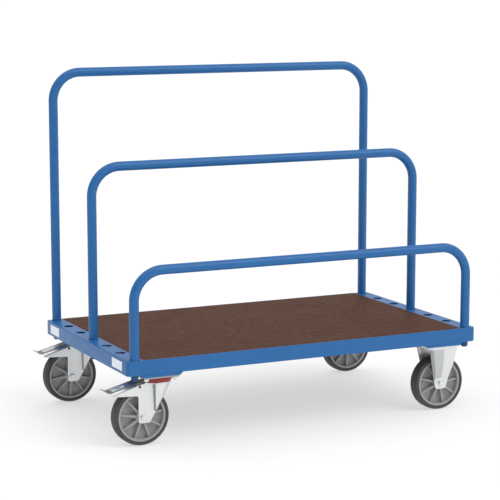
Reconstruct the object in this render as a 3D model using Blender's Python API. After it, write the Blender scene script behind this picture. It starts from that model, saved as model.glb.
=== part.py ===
"""Platform trolley with three plug-in hoops for carrying boards on edge.

A welded steel frame with a plywood deck stands on two fixed castors and two swivel
castors with total-lock pedals. A hole strip at each short end takes the legs of three
U-shaped hoops of different heights. Lengths are in metres. +X is the long way, with the
swivel castors at -X, and the low hoop stands at -Y. The origin is on the floor, under the
middle of the whole outline.
"""

import math

import bmesh
import bpy
from mathutils import Matrix, Vector

MM = 0.001
GAP = 0.3 * MM

# Driving dimensions.
FRAME_LENGTH = 1370 * MM
FRAME_WIDTH = 810 * MM
STRIP_WIDTH = 60 * MM
RAIL_BOTTOM = 251 * MM
DECK_TOP = 303 * MM
DECK_THICKNESS = 15 * MM
SHEET = 3 * MM
SHELF = 30 * MM
CORNER_RADIUS = 14 * MM
CHANNEL_HALF = 30 * MM

TUBE_RADIUS = 16.85 * MM
TUBE_WALL = 2.5 * MM
HOOP_BEND = 104 * MM
HOOP_INSET_X = 34 * MM
HOOP_INSET_Y = 20 * MM
HOOP_HEIGHTS = {"rear": 920 * MM, "middle": 610 * MM, "front": 300 * MM}
HOLE_COUNT = 7
HOLE_PLAY = 1.2 * MM
SPIGOT_RADIUS = 12.7 * MM
SPIGOT_DROP = 20 * MM
SPIGOT_INSIDE = 30 * MM

WHEEL_RADIUS = 100 * MM
TYRE_HALF_WIDTH = 23 * MM
RIM_RADIUS = 86 * MM
RIM_HALF = 21 * MM
WEB_HALF = 2.5 * MM
HUB_HALF = 26.5 * MM
HUB_RADIUS = 23 * MM
BORE_RADIUS = 15 * MM
BEARING_HALF = 26 * MM
RIB_COUNT = 9
RIB_HALF = 2.2 * MM
CASTOR_X = 557 * MM
CASTOR_Y = 347 * MM
TRAIL = 61 * MM
LEG_INNER = 27.5 * MM
LEG_SHEET = 4 * MM
AXLE_RADIUS = 6 * MM
HEAD_RADIUS = 10 * MM
PLATE_TOP = 241 * MM
PLATE_SHEET = 6 * MM
PLATE_LENGTH = 135 * MM
PLATE_WIDTH = 110 * MM
SWIVEL_BOLTS = (52.5 * MM, 40 * MM)
FIXED_BOLTS = (40 * MM, 27 * MM)
STUD_RADIUS = 5 * MM
NUT_FLATS = 16 * MM
NUT_HEIGHT = 8 * MM
PAD_LENGTH = 152 * MM
PAD_WIDTH = 114 * MM
PAD_SLOPE = 9 * MM
CROWN_BOTTOM = 213 * MM
CROWN_TOP = 219 * MM
CROWN_RADIUS = 50 * MM
RACE_RADIUS = 39 * MM
RACE_BOTTOM = 226 * MM
KINGPIN_RADIUS = 8 * MM
COLLAR_RADIUS = 14 * MM
PEDAL_PIVOT = (-72 * MM, 206.5 * MM)
PEDAL_PIN_RADIUS = 3.5 * MM
PEDAL_SHEET = 2.5 * MM
EAR_HALF = 26.3 * MM
TREAD_HALF = 28 * MM
SKIRT_HALF = 37 * MM
SKIRT_DROP = 6 * MM
SHOE_HALF = 17 * MM
SHOE_PLAY = 1.2 * MM

# The pedal's top line from its raised tip to its back end, about the swivel axis.
PEDAL_LINE = (
    (-195 * MM, 201.6 * MM),
    (-176 * MM, 193.6 * MM),
    (-81 * MM, 219.5 * MM),
    (-66.5 * MM, 221.5 * MM),
)

# How far each wheel is turned from the place where a rib points to +X, in degrees.
RIB_TURNS = {
    "fixed_wheel_front": 34.7,
    "fixed_wheel_rear": 11.0,
    "swivel_wheel_front": 28.5,
    "swivel_wheel_rear": 12.6,
}

# The pedals reach out past the frame at -X, so the frame's middle sits towards +X.
DECK_X = 33.5 * MM

HALF_LENGTH = FRAME_LENGTH / 2
HALF_WIDTH = FRAME_WIDTH / 2
INNER_X = HALF_LENGTH - STRIP_WIDTH
SHELF_TOP = DECK_TOP - DECK_THICKNESS - GAP
LEG_X = HALF_LENGTH - HOOP_INSET_X
HOOP_Y = HALF_WIDTH - HOOP_INSET_Y
LEG_OUTER = LEG_INNER + LEG_SHEET

# How many flats stand for a circle.
WHEEL_STEPS = 27
FLAT_DOWN = math.pi / WHEEL_STEPS - math.pi / 2
RING_STEPS = 24
ROUND_STEPS = 12
BOLT_STEPS = 8


def clear_scene():
    for item in list(bpy.data.objects):
        bpy.data.objects.remove(item)


def paint(name, colour, roughness, metallic=0.0):
    """One Principled material for each kind of surface."""
    surface = bpy.data.materials.new(name)
    surface.use_nodes = True
    shader = surface.node_tree.nodes["Principled BSDF"]
    shader.inputs["Base Color"].default_value = (*colour, 1.0)
    shader.inputs["Roughness"].default_value = roughness
    shader.inputs["Metallic"].default_value = metallic
    return surface


def to_mesh(shape):
    """Turns a bmesh into a mesh with its faces pointing out."""
    shape.normal_update()
    bmesh.ops.recalc_face_normals(shape, faces=shape.faces)
    mesh = bpy.data.meshes.new("shape")
    shape.to_mesh(mesh)
    shape.free()
    return mesh


def place(name, mesh, surface, parent, location=(0, 0, 0), smooth=False):
    """Makes one named sub-part out of a mesh, under its parent."""
    mesh.materials.clear()
    mesh.materials.append(surface)
    if smooth:
        mesh.shade_smooth()
        mesh.set_sharp_from_angle(angle=math.radians(35))
    item = bpy.data.objects.new(name, mesh)
    bpy.context.collection.objects.link(item)
    item.parent = parent
    item.location = location
    return item


def pivot(name, parent, location):
    """An empty that marks where a moving group turns."""
    empty = bpy.data.objects.new(name, None)
    empty.empty_display_size = 0.05
    bpy.context.collection.objects.link(empty)
    empty.parent = parent
    empty.location = location
    return empty


def boolean(base, tool, operation):
    """Joins or cuts two meshes with the exact solver and returns the result."""
    items = [bpy.data.objects.new("operand", mesh) for mesh in (base, tool)]
    for item in items:
        bpy.context.collection.objects.link(item)
    modifier = items[0].modifiers.new("boolean", "BOOLEAN")
    modifier.operation = operation
    modifier.solver = "EXACT"
    modifier.object = items[1]
    evaluated = items[0].evaluated_get(bpy.context.evaluated_depsgraph_get())
    result = bpy.data.meshes.new_from_object(evaluated)
    for item in items:
        bpy.data.objects.remove(item)
    return result


def union(base, *tools):
    for tool in tools:
        base = boolean(base, tool, "UNION")
    return base


def cut(base, *tools):
    for tool in tools:
        base = boolean(base, tool, "DIFFERENCE")
    return base


def merged(*meshes):
    """Meshes that don't touch, gathered into one so that they cut in one step."""
    shape = bmesh.new()
    for mesh in meshes:
        shape.from_mesh(mesh)
    return to_mesh(shape)


def moved(mesh, offset):
    """A copy of a mesh, shifted."""
    copy = mesh.copy()
    for vertex in copy.vertices:
        vertex.co += Vector(offset)
    return copy


def mirrored(mesh, axis):
    """A copy of a mesh, mirrored across the plane through the origin."""
    shape = bmesh.new()
    shape.from_mesh(mesh)
    for vertex in shape.verts:
        vertex.co["XYZ".index(axis)] *= -1
    return to_mesh(shape)


def fillet(corners, steps=3):
    """A closed outline from corners given as (u, v, radius of the rounding)."""
    points = []
    for index, (u, v, radius) in enumerate(corners):
        here = Vector((u, v))
        if not radius:
            points.append(here)
            continue
        before = (Vector(corners[index - 1][:2]) - here).normalized()
        after = (Vector(corners[(index + 1) % len(corners)][:2]) - here).normalized()
        half = before.angle(after) / 2
        centre = here + (before + after).normalized() * (radius / math.sin(half))
        reach = radius / math.tan(half)
        first = here + before * reach - centre
        last = here + after * reach - centre
        start = math.atan2(first.y, first.x)
        sweep = (math.atan2(last.y, last.x) - start + math.pi) % math.tau - math.pi
        for step in range(steps + 1):
            angle = start + sweep * step / steps
            points.append(centre + radius * Vector((math.cos(angle), math.sin(angle))))
    return points


def rectangle(u_low, v_low, u_high, v_high, radius=0.0):
    """The corners of a rectangle, in the form that fillet takes."""
    places = ((u_low, v_low), (u_high, v_low), (u_high, v_high), (u_low, v_high))
    return [(u, v, radius) for u, v in places]


def prism(outline, axis, low, high):
    """A flat outline extruded along an axis. The outline lies in the other two axes."""
    shape = bmesh.new()
    corners = []
    for u, v in outline:
        place_in = {"X": (low, u, v), "Y": (u, low, v), "Z": (u, v, low)}[axis]
        corners.append(shape.verts.new(place_in))
    face = shape.faces.new(corners)
    extruded = bmesh.ops.extrude_face_region(shape, geom=[face])
    grown = [v for v in extruded["geom"] if isinstance(v, bmesh.types.BMVert)]
    offset = Vector((0, 0, 0))
    offset["XYZ".index(axis)] = high - low
    bmesh.ops.translate(shape, vec=offset, verts=grown)
    return to_mesh(shape)


def box(low, high):
    outline = fillet(rectangle(low[0], low[1], high[0], high[1]))
    return prism(outline, "Z", low[2], high[2])


def lathe(profile, axis, steps, closed=False, phase=0.0):
    """A profile of (radius, height) spun about an axis. A closed one makes a ring."""
    shape = bmesh.new()
    points = []
    for radius, height in profile:
        across = Vector((radius * math.cos(phase), radius * math.sin(phase)))
        if axis == "Z":
            points.append(shape.verts.new((across.x, across.y, height)))
        else:
            points.append(shape.verts.new((across.x, height, across.y)))
    edges = [shape.edges.new(pair) for pair in zip(points, points[1:])]
    if closed:
        edges.append(shape.edges.new((points[-1], points[0])))
    spindle = (0, 0, 1) if axis == "Z" else (0, 1, 0)
    bmesh.ops.spin(
        shape,
        geom=points + edges,
        cent=(0, 0, 0),
        axis=spindle,
        angle=math.tau,
        steps=steps,
        use_merge=True,
    )
    bmesh.ops.remove_doubles(shape, verts=shape.verts, dist=0.01 * MM)
    return to_mesh(shape)


def disc(radius, low, high, axis="Z", steps=ROUND_STEPS):
    """A plain round bar."""
    return lathe([(0, low), (radius, low), (radius, high), (0, high)], axis, steps)


def hexagon(across_flats, low, high):
    """A hexagonal nut's body about the Z axis."""
    return disc(across_flats / math.sqrt(3), low, high, "Z", 6)


def ring(inner, outer, low, high, axis="Z", steps=RING_STEPS):
    profile = [(inner, low), (outer, low), (outer, high), (inner, high)]
    return lathe(profile, axis, steps, closed=True)


def hull(points):
    """The convex solid round a set of points."""
    shape = bmesh.new()
    for point in points:
        shape.verts.new(point)
    bmesh.ops.convex_hull(shape, input=shape.verts)
    return to_mesh(shape)


def rail_web():
    """The front rail's outer web."""
    return box(
        (-INNER_X + GAP, -HALF_WIDTH, RAIL_BOTTOM),
        (INNER_X - GAP, -HALF_WIDTH + SHEET, DECK_TOP),
    )


def rail_shelf():
    """The shelf welded inside the front rail, which carries the deck's edge."""
    return box(
        (-INNER_X + GAP, -HALF_WIDTH + SHEET + GAP, SHELF_TOP - SHEET),
        (INNER_X - GAP, -HALF_WIDTH + SHELF, SHELF_TOP),
    )


def hole_rows():
    """Where the plug holes are along the strip, from the rear to the front."""
    pitch = 2 * HOOP_Y / (HOLE_COUNT - 1)
    return [HOOP_Y - pitch * index for index in range(HOLE_COUNT)]


def hole_strip():
    """The left hole strip: a channel, open to the inside, with round outer corners."""
    corners = rectangle(-HALF_LENGTH, -HALF_WIDTH, -INNER_X, HALF_WIDTH)
    corners[0] = (-HALF_LENGTH, -HALF_WIDTH, CORNER_RADIUS)
    corners[3] = (-HALF_LENGTH, HALF_WIDTH, CORNER_RADIUS)
    outer = prism(fillet(corners), "Z", RAIL_BOTTOM, DECK_TOP)
    inner_corners = [
        (-HALF_LENGTH + SHEET, -HALF_WIDTH + SHEET, CORNER_RADIUS - SHEET),
        (-INNER_X + SHEET, -HALF_WIDTH + SHEET, 0),
        (-INNER_X + SHEET, HALF_WIDTH - SHEET, 0),
        (-HALF_LENGTH + SHEET, HALF_WIDTH - SHEET, CORNER_RADIUS - SHEET),
    ]
    hollow = prism(fillet(inner_corners), "Z", RAIL_BOTTOM + SHEET, DECK_TOP - SHEET)
    top_hole = disc(TUBE_RADIUS + HOLE_PLAY, DECK_TOP - 2 * SHEET, DECK_TOP + SHEET)
    low_hole = disc(SPIGOT_RADIUS + HOLE_PLAY, RAIL_BOTTOM - SHEET, RAIL_BOTTOM + 2 * SHEET)
    holes = []
    for y in hole_rows():
        holes.append(moved(top_hole, (-LEG_X, y, 0)))
        holes.append(moved(low_hole, (-LEG_X, y, 0)))
    return cut(outer, hollow, merged(*holes))


def cross_member():
    """A channel under the deck, open below, notched to pass under the rails' shelves."""
    half = CHANNEL_HALF
    reach = HALF_WIDTH - SHEET - GAP
    section = [
        (-half, RAIL_BOTTOM),
        (-half, SHELF_TOP),
        (half, SHELF_TOP),
        (half, RAIL_BOTTOM),
        (half - SHEET, RAIL_BOTTOM),
        (half - SHEET, SHELF_TOP - SHEET),
        (-half + SHEET, SHELF_TOP - SHEET),
        (-half + SHEET, RAIL_BOTTOM),
    ]
    notch = box(
        (-2 * half, HALF_WIDTH - SHELF - GAP, SHELF_TOP - SHEET - GAP),
        (2 * half, HALF_WIDTH, DECK_TOP),
    )
    return cut(prism(section, "Y", -reach, reach), notch, mirrored(notch, "Y"))


def four_spots(bolts):
    """The four corners of a castor's bolt rectangle."""
    return [(x, y, 0) for x in (-bolts[0], bolts[0]) for y in (-bolts[1], bolts[1])]


def mounting_plate(bolts):
    """A welded pad with its four castor studs and their nuts, chamfered at both ends."""
    top = RAIL_BOTTOM - GAP
    bottom = PLATE_TOP + GAP
    outline = [
        (-PAD_LENGTH / 2, top),
        (PAD_LENGTH / 2, top),
        (PAD_LENGTH / 2 - PAD_SLOPE, bottom),
        (-PAD_LENGTH / 2 + PAD_SLOPE, bottom),
    ]
    pad = prism(outline, "Y", -PAD_WIDTH / 2, PAD_WIDTH / 2)
    nut_top = PLATE_TOP - PLATE_SHEET - GAP
    nut_bottom = nut_top - NUT_HEIGHT
    stud = disc(STUD_RADIUS, nut_bottom - 2 * MM, top - 2 * MM, steps=BOLT_STEPS)
    nut = hexagon(NUT_FLATS, nut_bottom, nut_top)
    fastener = union(stud, nut)
    return union(pad, merged(*[moved(fastener, spot) for spot in four_spots(bolts)]))


def castor_plate(bolts):
    """The flat part of a castor's top plate, with round corners and stud holes."""
    corners = rectangle(
        -PLATE_LENGTH / 2, -PLATE_WIDTH / 2, PLATE_LENGTH / 2, PLATE_WIDTH / 2, 12 * MM
    )
    plate = prism(fillet(corners), "Z", PLATE_TOP - PLATE_SHEET, PLATE_TOP)
    low, high = PLATE_TOP - 2 * PLATE_SHEET, PLATE_TOP + PLATE_SHEET
    hole = disc(STUD_RADIUS + 0.8 * MM, low, high, steps=BOLT_STEPS)
    return cut(plate, merged(*[moved(hole, spot) for spot in four_spots(bolts)]))


def swivel_plate():
    """A swivel castor's top plate with the upper race pressed out below it."""
    race = disc(RACE_RADIUS, RACE_BOTTOM, PLATE_TOP - PLATE_SHEET / 2, steps=RING_STEPS)
    return cut(union(castor_plate(SWIVEL_BOLTS), race), kingpin_hole())


def kingpin_hole():
    """A cutter for the kingpin, right through the crown and the plate."""
    return disc(KINGPIN_RADIUS + GAP, CROWN_BOTTOM - 10 * MM, PLATE_TOP + 10 * MM)


def kingpin():
    """The pin that the fork turns about, with its collar nut under the crown."""
    top = CROWN_BOTTOM - GAP
    bottom = CROWN_BOTTOM - 8 * MM
    chamfer = 2 * MM
    profile = [
        (0, bottom),
        (COLLAR_RADIUS - chamfer, bottom),
        (COLLAR_RADIUS, bottom + chamfer),
        (COLLAR_RADIUS, top),
        (KINGPIN_RADIUS, top),
        (KINGPIN_RADIUS, PLATE_TOP),
        (0, PLATE_TOP),
    ]
    return lathe(profile, "Z", ROUND_STEPS)


def seal_ring():
    """The red dust seal round the swivel bearing."""
    inner = RACE_RADIUS + 1.5 * MM
    low = CROWN_TOP + 0.5 * MM
    high = PLATE_TOP - PLATE_SHEET - 1.5 * MM
    profile = [
        (inner, low),
        (49 * MM, low),
        (53 * MM, low + 3 * MM),
        (54 * MM, high - 2.5 * MM),
        (51 * MM, high),
        (inner, high),
    ]
    return lathe(profile, "Z", RING_STEPS, closed=True)


def fork_leg():
    """The near leg of a swivel fork with its wing beside the pedal."""
    corners = [
        (44 * MM, CROWN_TOP, 0),
        (-36 * MM, 80 * MM, 9 * MM),
        (-78 * MM, 80 * MM, 9 * MM),
        (-78 * MM, 175 * MM, 7 * MM),
        (-171 * MM, 180 * MM, 2.5 * MM),
        (-169 * MM, 186.5 * MM, 2.5 * MM),
        (-70 * MM, 214 * MM, 12 * MM),
        (-52 * MM, CROWN_TOP, 0),
    ]
    return prism(fillet(corners), "Y", -LEG_OUTER, -LEG_INNER)


def fork_bulge():
    """The pressed bulge that carries the crown's edge down into the near leg."""
    outer = -48 * MM
    foot = -LEG_INNER - 1 * MM
    top = (CROWN_BOTTOM + CROWN_TOP) / 2
    point = 117 * MM
    step = point + 7 * MM
    return hull(
        [
            (-26 * MM, foot, top),
            (-22 * MM, outer, top),
            (20 * MM, outer, top),
            (42 * MM, foot, top),
            (-19 * MM, -41 * MM, step),
            (-14 * MM, -38 * MM, step),
            (-22 * MM, foot, point),
            (-15 * MM, foot, point),
        ]
    )


def fork():
    """A swivel fork, pressed out of one sheet: crown, two legs and two wings."""
    crown = disc(CROWN_RADIUS, CROWN_BOTTOM, CROWN_TOP, steps=RING_STEPS)
    legs = [fork_leg(), fork_bulge()]
    legs += [mirrored(mesh, "Y") for mesh in legs]
    body = union(crown, *legs)
    return cut(body, kingpin_hole(), axle_hole(-TRAIL), pin_hole())


def axle_hole(x):
    """A cutter for a wheel's axle, right across the castor."""
    hole = disc(AXLE_RADIUS + GAP, -PAD_WIDTH / 2, PAD_WIDTH / 2, "Y")
    return moved(hole, (x, 0, WHEEL_RADIUS))


def pin_hole():
    """A cutter for the pedal's pivot pin, in the castor's own axes."""
    hole = disc(PEDAL_PIN_RADIUS + GAP, -PAD_WIDTH / 2, PAD_WIDTH / 2, "Y")
    return moved(hole, (PEDAL_PIVOT[0], 0, PEDAL_PIVOT[1]))


def about_pedal_pivot(mesh):
    return moved(mesh, (-PEDAL_PIVOT[0], 0, -PEDAL_PIVOT[1]))


def tread_top(u):
    """The height of the tread's top, between the pedal's bend and its heel."""
    (low_u, low), (high_u, high) = PEDAL_LINE[1:3]
    return low + (high - low) * (u - low_u) / (high_u - low_u)


def pedal():
    """A brake pedal about its pivot: a tread with a raised tip, two skirts, two ears."""
    top_side = [Vector(point) for point in PEDAL_LINE]
    under_side = [point - Vector((0, PEDAL_SHEET)) for point in reversed(top_side)]
    tread = prism(top_side + under_side, "Y", -TREAD_HALF, TREAD_HALF)
    skirt_points = []
    for u, top in PEDAL_LINE[1:3]:
        for y, drop in ((-TREAD_HALF + 2 * MM, 0.4 * MM), (-SKIRT_HALF, SKIRT_DROP)):
            skirt_points.append((u, y, top - drop))
            skirt_points.append((u, y + 1 * MM, top - drop - PEDAL_SHEET + 0.8 * MM))
    skirt = hull(skirt_points)
    mid_sheet = PEDAL_SHEET / 2
    ear_corners = [
        (PEDAL_LINE[3][0], PEDAL_LINE[3][1] - mid_sheet, 0.5 * MM),
        (-64 * MM, 198 * MM, 6 * MM),
        (-84 * MM, 198 * MM, 6 * MM),
        (-140 * MM, tread_top(-140 * MM) - mid_sheet, 0.5 * MM),
        (-84 * MM, tread_top(-84 * MM) - mid_sheet, 1 * MM),
    ]
    ear = prism(fillet(ear_corners), "Y", -EAR_HALF, -EAR_HALF + PEDAL_SHEET)
    sides = [skirt, ear, mirrored(skirt, "Y"), mirrored(ear, "Y")]
    return about_pedal_pivot(cut(union(tread, *sides), pin_hole()))


def brake_shoe():
    """The block between the tread and the tyre, hollowed to the tyre's own curve."""
    reach = WHEEL_RADIUS + SHOE_PLAY
    angles = [math.radians(112 + 4 * step) for step in range(5)]
    below = [
        Vector((-TRAIL + reach * math.cos(a), WHEEL_RADIUS + reach * math.sin(a)))
        for a in angles
    ]
    above = []
    for u in (below[-1].x, below[0].x):
        above.append(Vector((u, tread_top(u) - PEDAL_SHEET - GAP)))
    return about_pedal_pivot(prism(below + above, "Y", -SHOE_HALF, SHOE_HALF))


def axle():
    """A wheel axle: a bolt through both legs, with its head and nut outside them."""
    grip = LEG_OUTER + GAP
    head = grip + 7.5 * MM
    nut = grip + 5 * MM
    end = nut + 3 * MM
    profile = [
        (0, -head),
        (HEAD_RADIUS - 1 * MM, -head),
        (HEAD_RADIUS, -grip),
        (AXLE_RADIUS, -grip),
        (AXLE_RADIUS, grip),
        (HEAD_RADIUS, grip),
        (HEAD_RADIUS, nut),
        (AXLE_RADIUS, end),
        (0, end),
    ]
    return lathe(profile, "Y", ROUND_STEPS)


def bracket_leg():
    """The near leg of a fixed castor: a trough that widens and leans out to the top.

    Each row gives a height, half the leg's width, how far out the trough's flat face
    stands, and how far out its two edges stand.
    """
    flat_share = 0.75
    rows = [
        (79 * MM, 14 * MM, LEG_OUTER, LEG_OUTER),
        (83 * MM, 20 * MM, LEG_OUTER, LEG_OUTER),
        (92 * MM, 24.5 * MM, LEG_OUTER, LEG_OUTER),
        (112 * MM, 29.5 * MM, LEG_OUTER, LEG_OUTER),
        (150 * MM, 40 * MM, 43 * MM, 38.5 * MM),
        (165 * MM, 44.5 * MM, 46.5 * MM, 42 * MM),
        (180 * MM, 48 * MM, 48.5 * MM, 44.5 * MM),
        (205 * MM, 53 * MM, 51 * MM, 47 * MM),
        (222 * MM, 56.5 * MM, 52.5 * MM, 49 * MM),
        (PLATE_TOP - PLATE_SHEET / 2, 58 * MM, 54 * MM, 52 * MM),
    ]
    shape = bmesh.new()
    loops = []
    for height, half, face, edge in rows:
        flat = flat_share * half
        skin = [(-half, -edge), (-flat, -face), (flat, -face), (half, -edge)]
        back = [(x, y + LEG_SHEET) for x, y in reversed(skin)]
        loops.append([shape.verts.new((x, y, height)) for x, y in skin + back])
    shape.faces.new(loops[0])
    shape.faces.new(loops[-1])
    for low, high in zip(loops, loops[1:]):
        bridge(shape, low, high)
    return to_mesh(shape)


def fixed_bracket():
    """A fixed castor's bracket, pressed out of one sheet: plate and two legs."""
    leg = bracket_leg()
    body = union(castor_plate(FIXED_BOLTS), leg, mirrored(leg, "Y"))
    return cut(body, axle_hole(0))


def wheel_centre(turn):
    """A moulded wheel centre: hub, web, rim and ribs that slope down to the rim."""
    half_profile = [
        (BORE_RADIUS, HUB_HALF),
        (HUB_RADIUS, HUB_HALF),
        (HUB_RADIUS + 2.5 * MM, WEB_HALF),
        (RIM_RADIUS - 8 * MM, WEB_HALF),
        (RIM_RADIUS - 6 * MM, RIM_HALF),
        (RIM_RADIUS, RIM_HALF),
    ]
    profile = half_profile + [(r, -y) for r, y in reversed(half_profile)]
    body = lathe(profile, "Y", WHEEL_STEPS, closed=True, phase=FLAT_DOWN)
    rib_start, rib_end = HUB_RADIUS - 2 * MM, RIM_RADIUS - 5 * MM
    rib_outline = [
        Vector((rib_start, -HUB_RADIUS)),
        Vector((rib_end, -15 * MM)),
        Vector((rib_end, 15 * MM)),
        Vector((rib_start, HUB_RADIUS)),
    ]
    rib = prism(rib_outline, "Z", -RIB_HALF, RIB_HALF)
    ribs = []
    for index in range(RIB_COUNT):
        angle = math.tau * index / RIB_COUNT + math.radians(turn)
        copy = rib.copy()
        copy.transform(Matrix.Rotation(angle, 4, "Y"))
        ribs.append(copy)
    return union(body, merged(*ribs))


def tyre():
    """A tyre with rounded shoulders. One flat of its outline faces the floor."""
    flat = 1 / math.cos(math.pi / WHEEL_STEPS)
    half_profile = [
        (RIM_RADIUS + GAP, 21.5 * MM),
        ((WHEEL_RADIUS - 7 * MM) * flat, TYRE_HALF_WIDTH),
        ((WHEEL_RADIUS - 2.5 * MM) * flat, 21.5 * MM),
        (WHEEL_RADIUS * flat, 16 * MM),
    ]
    profile = half_profile + [(r, -y) for r, y in reversed(half_profile)]
    return lathe(profile, "Y", WHEEL_STEPS, closed=True, phase=FLAT_DOWN)


def hoop_tube(height):
    """A bent tube, from the foot of one leg over the top to the foot of the other."""
    top = DECK_TOP + height
    foot = RAIL_BOTTOM + SHEET + GAP
    bend_steps = 6
    stations = [((-LEG_X, foot), 0.0)]
    for side in (-1, 1):
        for step in range(bend_steps + 1):
            share = step / bend_steps if side < 0 else 1 - step / bend_steps
            angle = share * math.pi / 2
            x = side * (LEG_X - HOOP_BEND + HOOP_BEND * math.cos(angle))
            z = top - HOOP_BEND + HOOP_BEND * math.sin(angle)
            turn = angle if side < 0 else math.pi - angle
            stations.append(((x, z), turn))
    stations.append(((LEG_X, foot), math.pi))
    shape = bmesh.new()
    walls = []
    for radius in (TUBE_RADIUS, TUBE_RADIUS - TUBE_WALL):
        rings = []
        for (x, z), turn in stations:
            across = Vector((-math.cos(turn), 0, math.sin(turn)))
            circle = []
            for side in range(ROUND_STEPS):
                angle = math.tau * side / ROUND_STEPS
                offset = across * math.cos(angle) + Vector((0, math.sin(angle), 0))
                circle.append(shape.verts.new(Vector((x, 0, z)) + offset * radius))
            rings.append(circle)
        walls.append(rings)
    for rings in walls:
        for low, high in zip(rings, rings[1:]):
            bridge(shape, low, high)
    bridge(shape, walls[0][0], walls[1][0])
    bridge(shape, walls[0][-1], walls[1][-1])
    return to_mesh(shape)


def bridge(shape, low, high):
    """Joins two rings of vertices with a band of faces."""
    count = len(low)
    for side in range(count):
        nearby = (side + 1) % count
        shape.faces.new((low[side], low[nearby], high[nearby], high[side]))


def spigot():
    """The turned end of a hoop's leg, which goes through the strip's lower hole."""
    foot = RAIL_BOTTOM + SHEET + GAP
    end = RAIL_BOTTOM - SPIGOT_DROP
    core = TUBE_RADIUS - TUBE_WALL - 2 * GAP
    profile = [
        (0, end),
        (SPIGOT_RADIUS - 3 * MM, end),
        (SPIGOT_RADIUS, end + 4 * MM),
        (SPIGOT_RADIUS, foot + 1 * MM),
        (core, foot + 2 * MM),
        (core, foot + SPIGOT_INSIDE),
        (0, foot + SPIGOT_INSIDE),
    ]
    return lathe(profile, "Z", ROUND_STEPS)


def build_frame(trolley, paints):
    """The welded frame, its deck and the two stickers on its left side."""
    blue = paints["blue_paint"]
    for piece, shape in (("rail", rail_web()), ("rail_shelf", rail_shelf())):
        place(f"front_{piece}", shape, blue, trolley)
        place(f"rear_{piece}", mirrored(shape, "Y"), blue, trolley)
    strip = hole_strip()
    place("left_hole_strip", strip, blue, trolley)
    place("right_hole_strip", mirrored(strip, "X"), blue, trolley)
    member = cross_member()
    for index, x in enumerate((-CASTOR_X, -CASTOR_X / 3, CASTOR_X / 3, CASTOR_X)):
        place(f"cross_member_{index + 1}", member, blue, trolley, (x, 0, 0))
    half_x = INNER_X - GAP
    half_y = HALF_WIDTH - SHEET - GAP
    board = box((-half_x, -half_y, DECK_TOP - DECK_THICKNESS), (half_x, half_y, DECK_TOP))
    place("deck_board", board, paints["deck_film"], trolley)
    label_half = (46 * MM, 16 * MM)
    face = -HALF_LENGTH - GAP
    corners = rectangle(-label_half[0], -label_half[1], *label_half, 2 * MM)
    label = prism(fillet(corners), "X", face - GAP, face)
    label_z = 278 * MM
    place("label_front", label, paints["label_white"], trolley, (0, -311 * MM, label_z))
    place("label_rear", label, paints["label_white"], trolley, (0, 311 * MM, label_z))


def build_hoops(trolley, paints):
    """Three hoops, plugged into the first, middle and last holes of the strips."""
    rows = {"rear": HOOP_Y, "middle": 0.0, "front": -HOOP_Y}
    pin = spigot()
    for name, height in HOOP_HEIGHTS.items():
        base = pivot(f"{name}_hoop_lift", trolley, (0, rows[name], 0))
        tube = hoop_tube(height)
        place(f"hoop_{name}", tube, paints["blue_paint"], base, smooth=True)
        for side, x in (("left", -LEG_X), ("right", LEG_X)):
            node = f"hoop_{name}_spigot_{side}"
            place(node, pin, paints["blue_paint"], base, (x, 0, 0), smooth=True)


def build_wheel(name, parent, location, parts, paints):
    """One wheel about its axle: tyre, centre and roller bearing."""
    hub = pivot(f"{name}_spin", parent, location)
    place(f"{name}_tyre", parts["tyre"], paints["tyre_dark"], hub, smooth=True)
    centre = wheel_centre(RIB_TURNS[name])
    place(f"{name}_centre", centre, paints["wheel_grey"], hub, smooth=True)
    place(f"{name}_bearing", parts["bearing"], paints["dark_steel"], hub, smooth=True)


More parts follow.
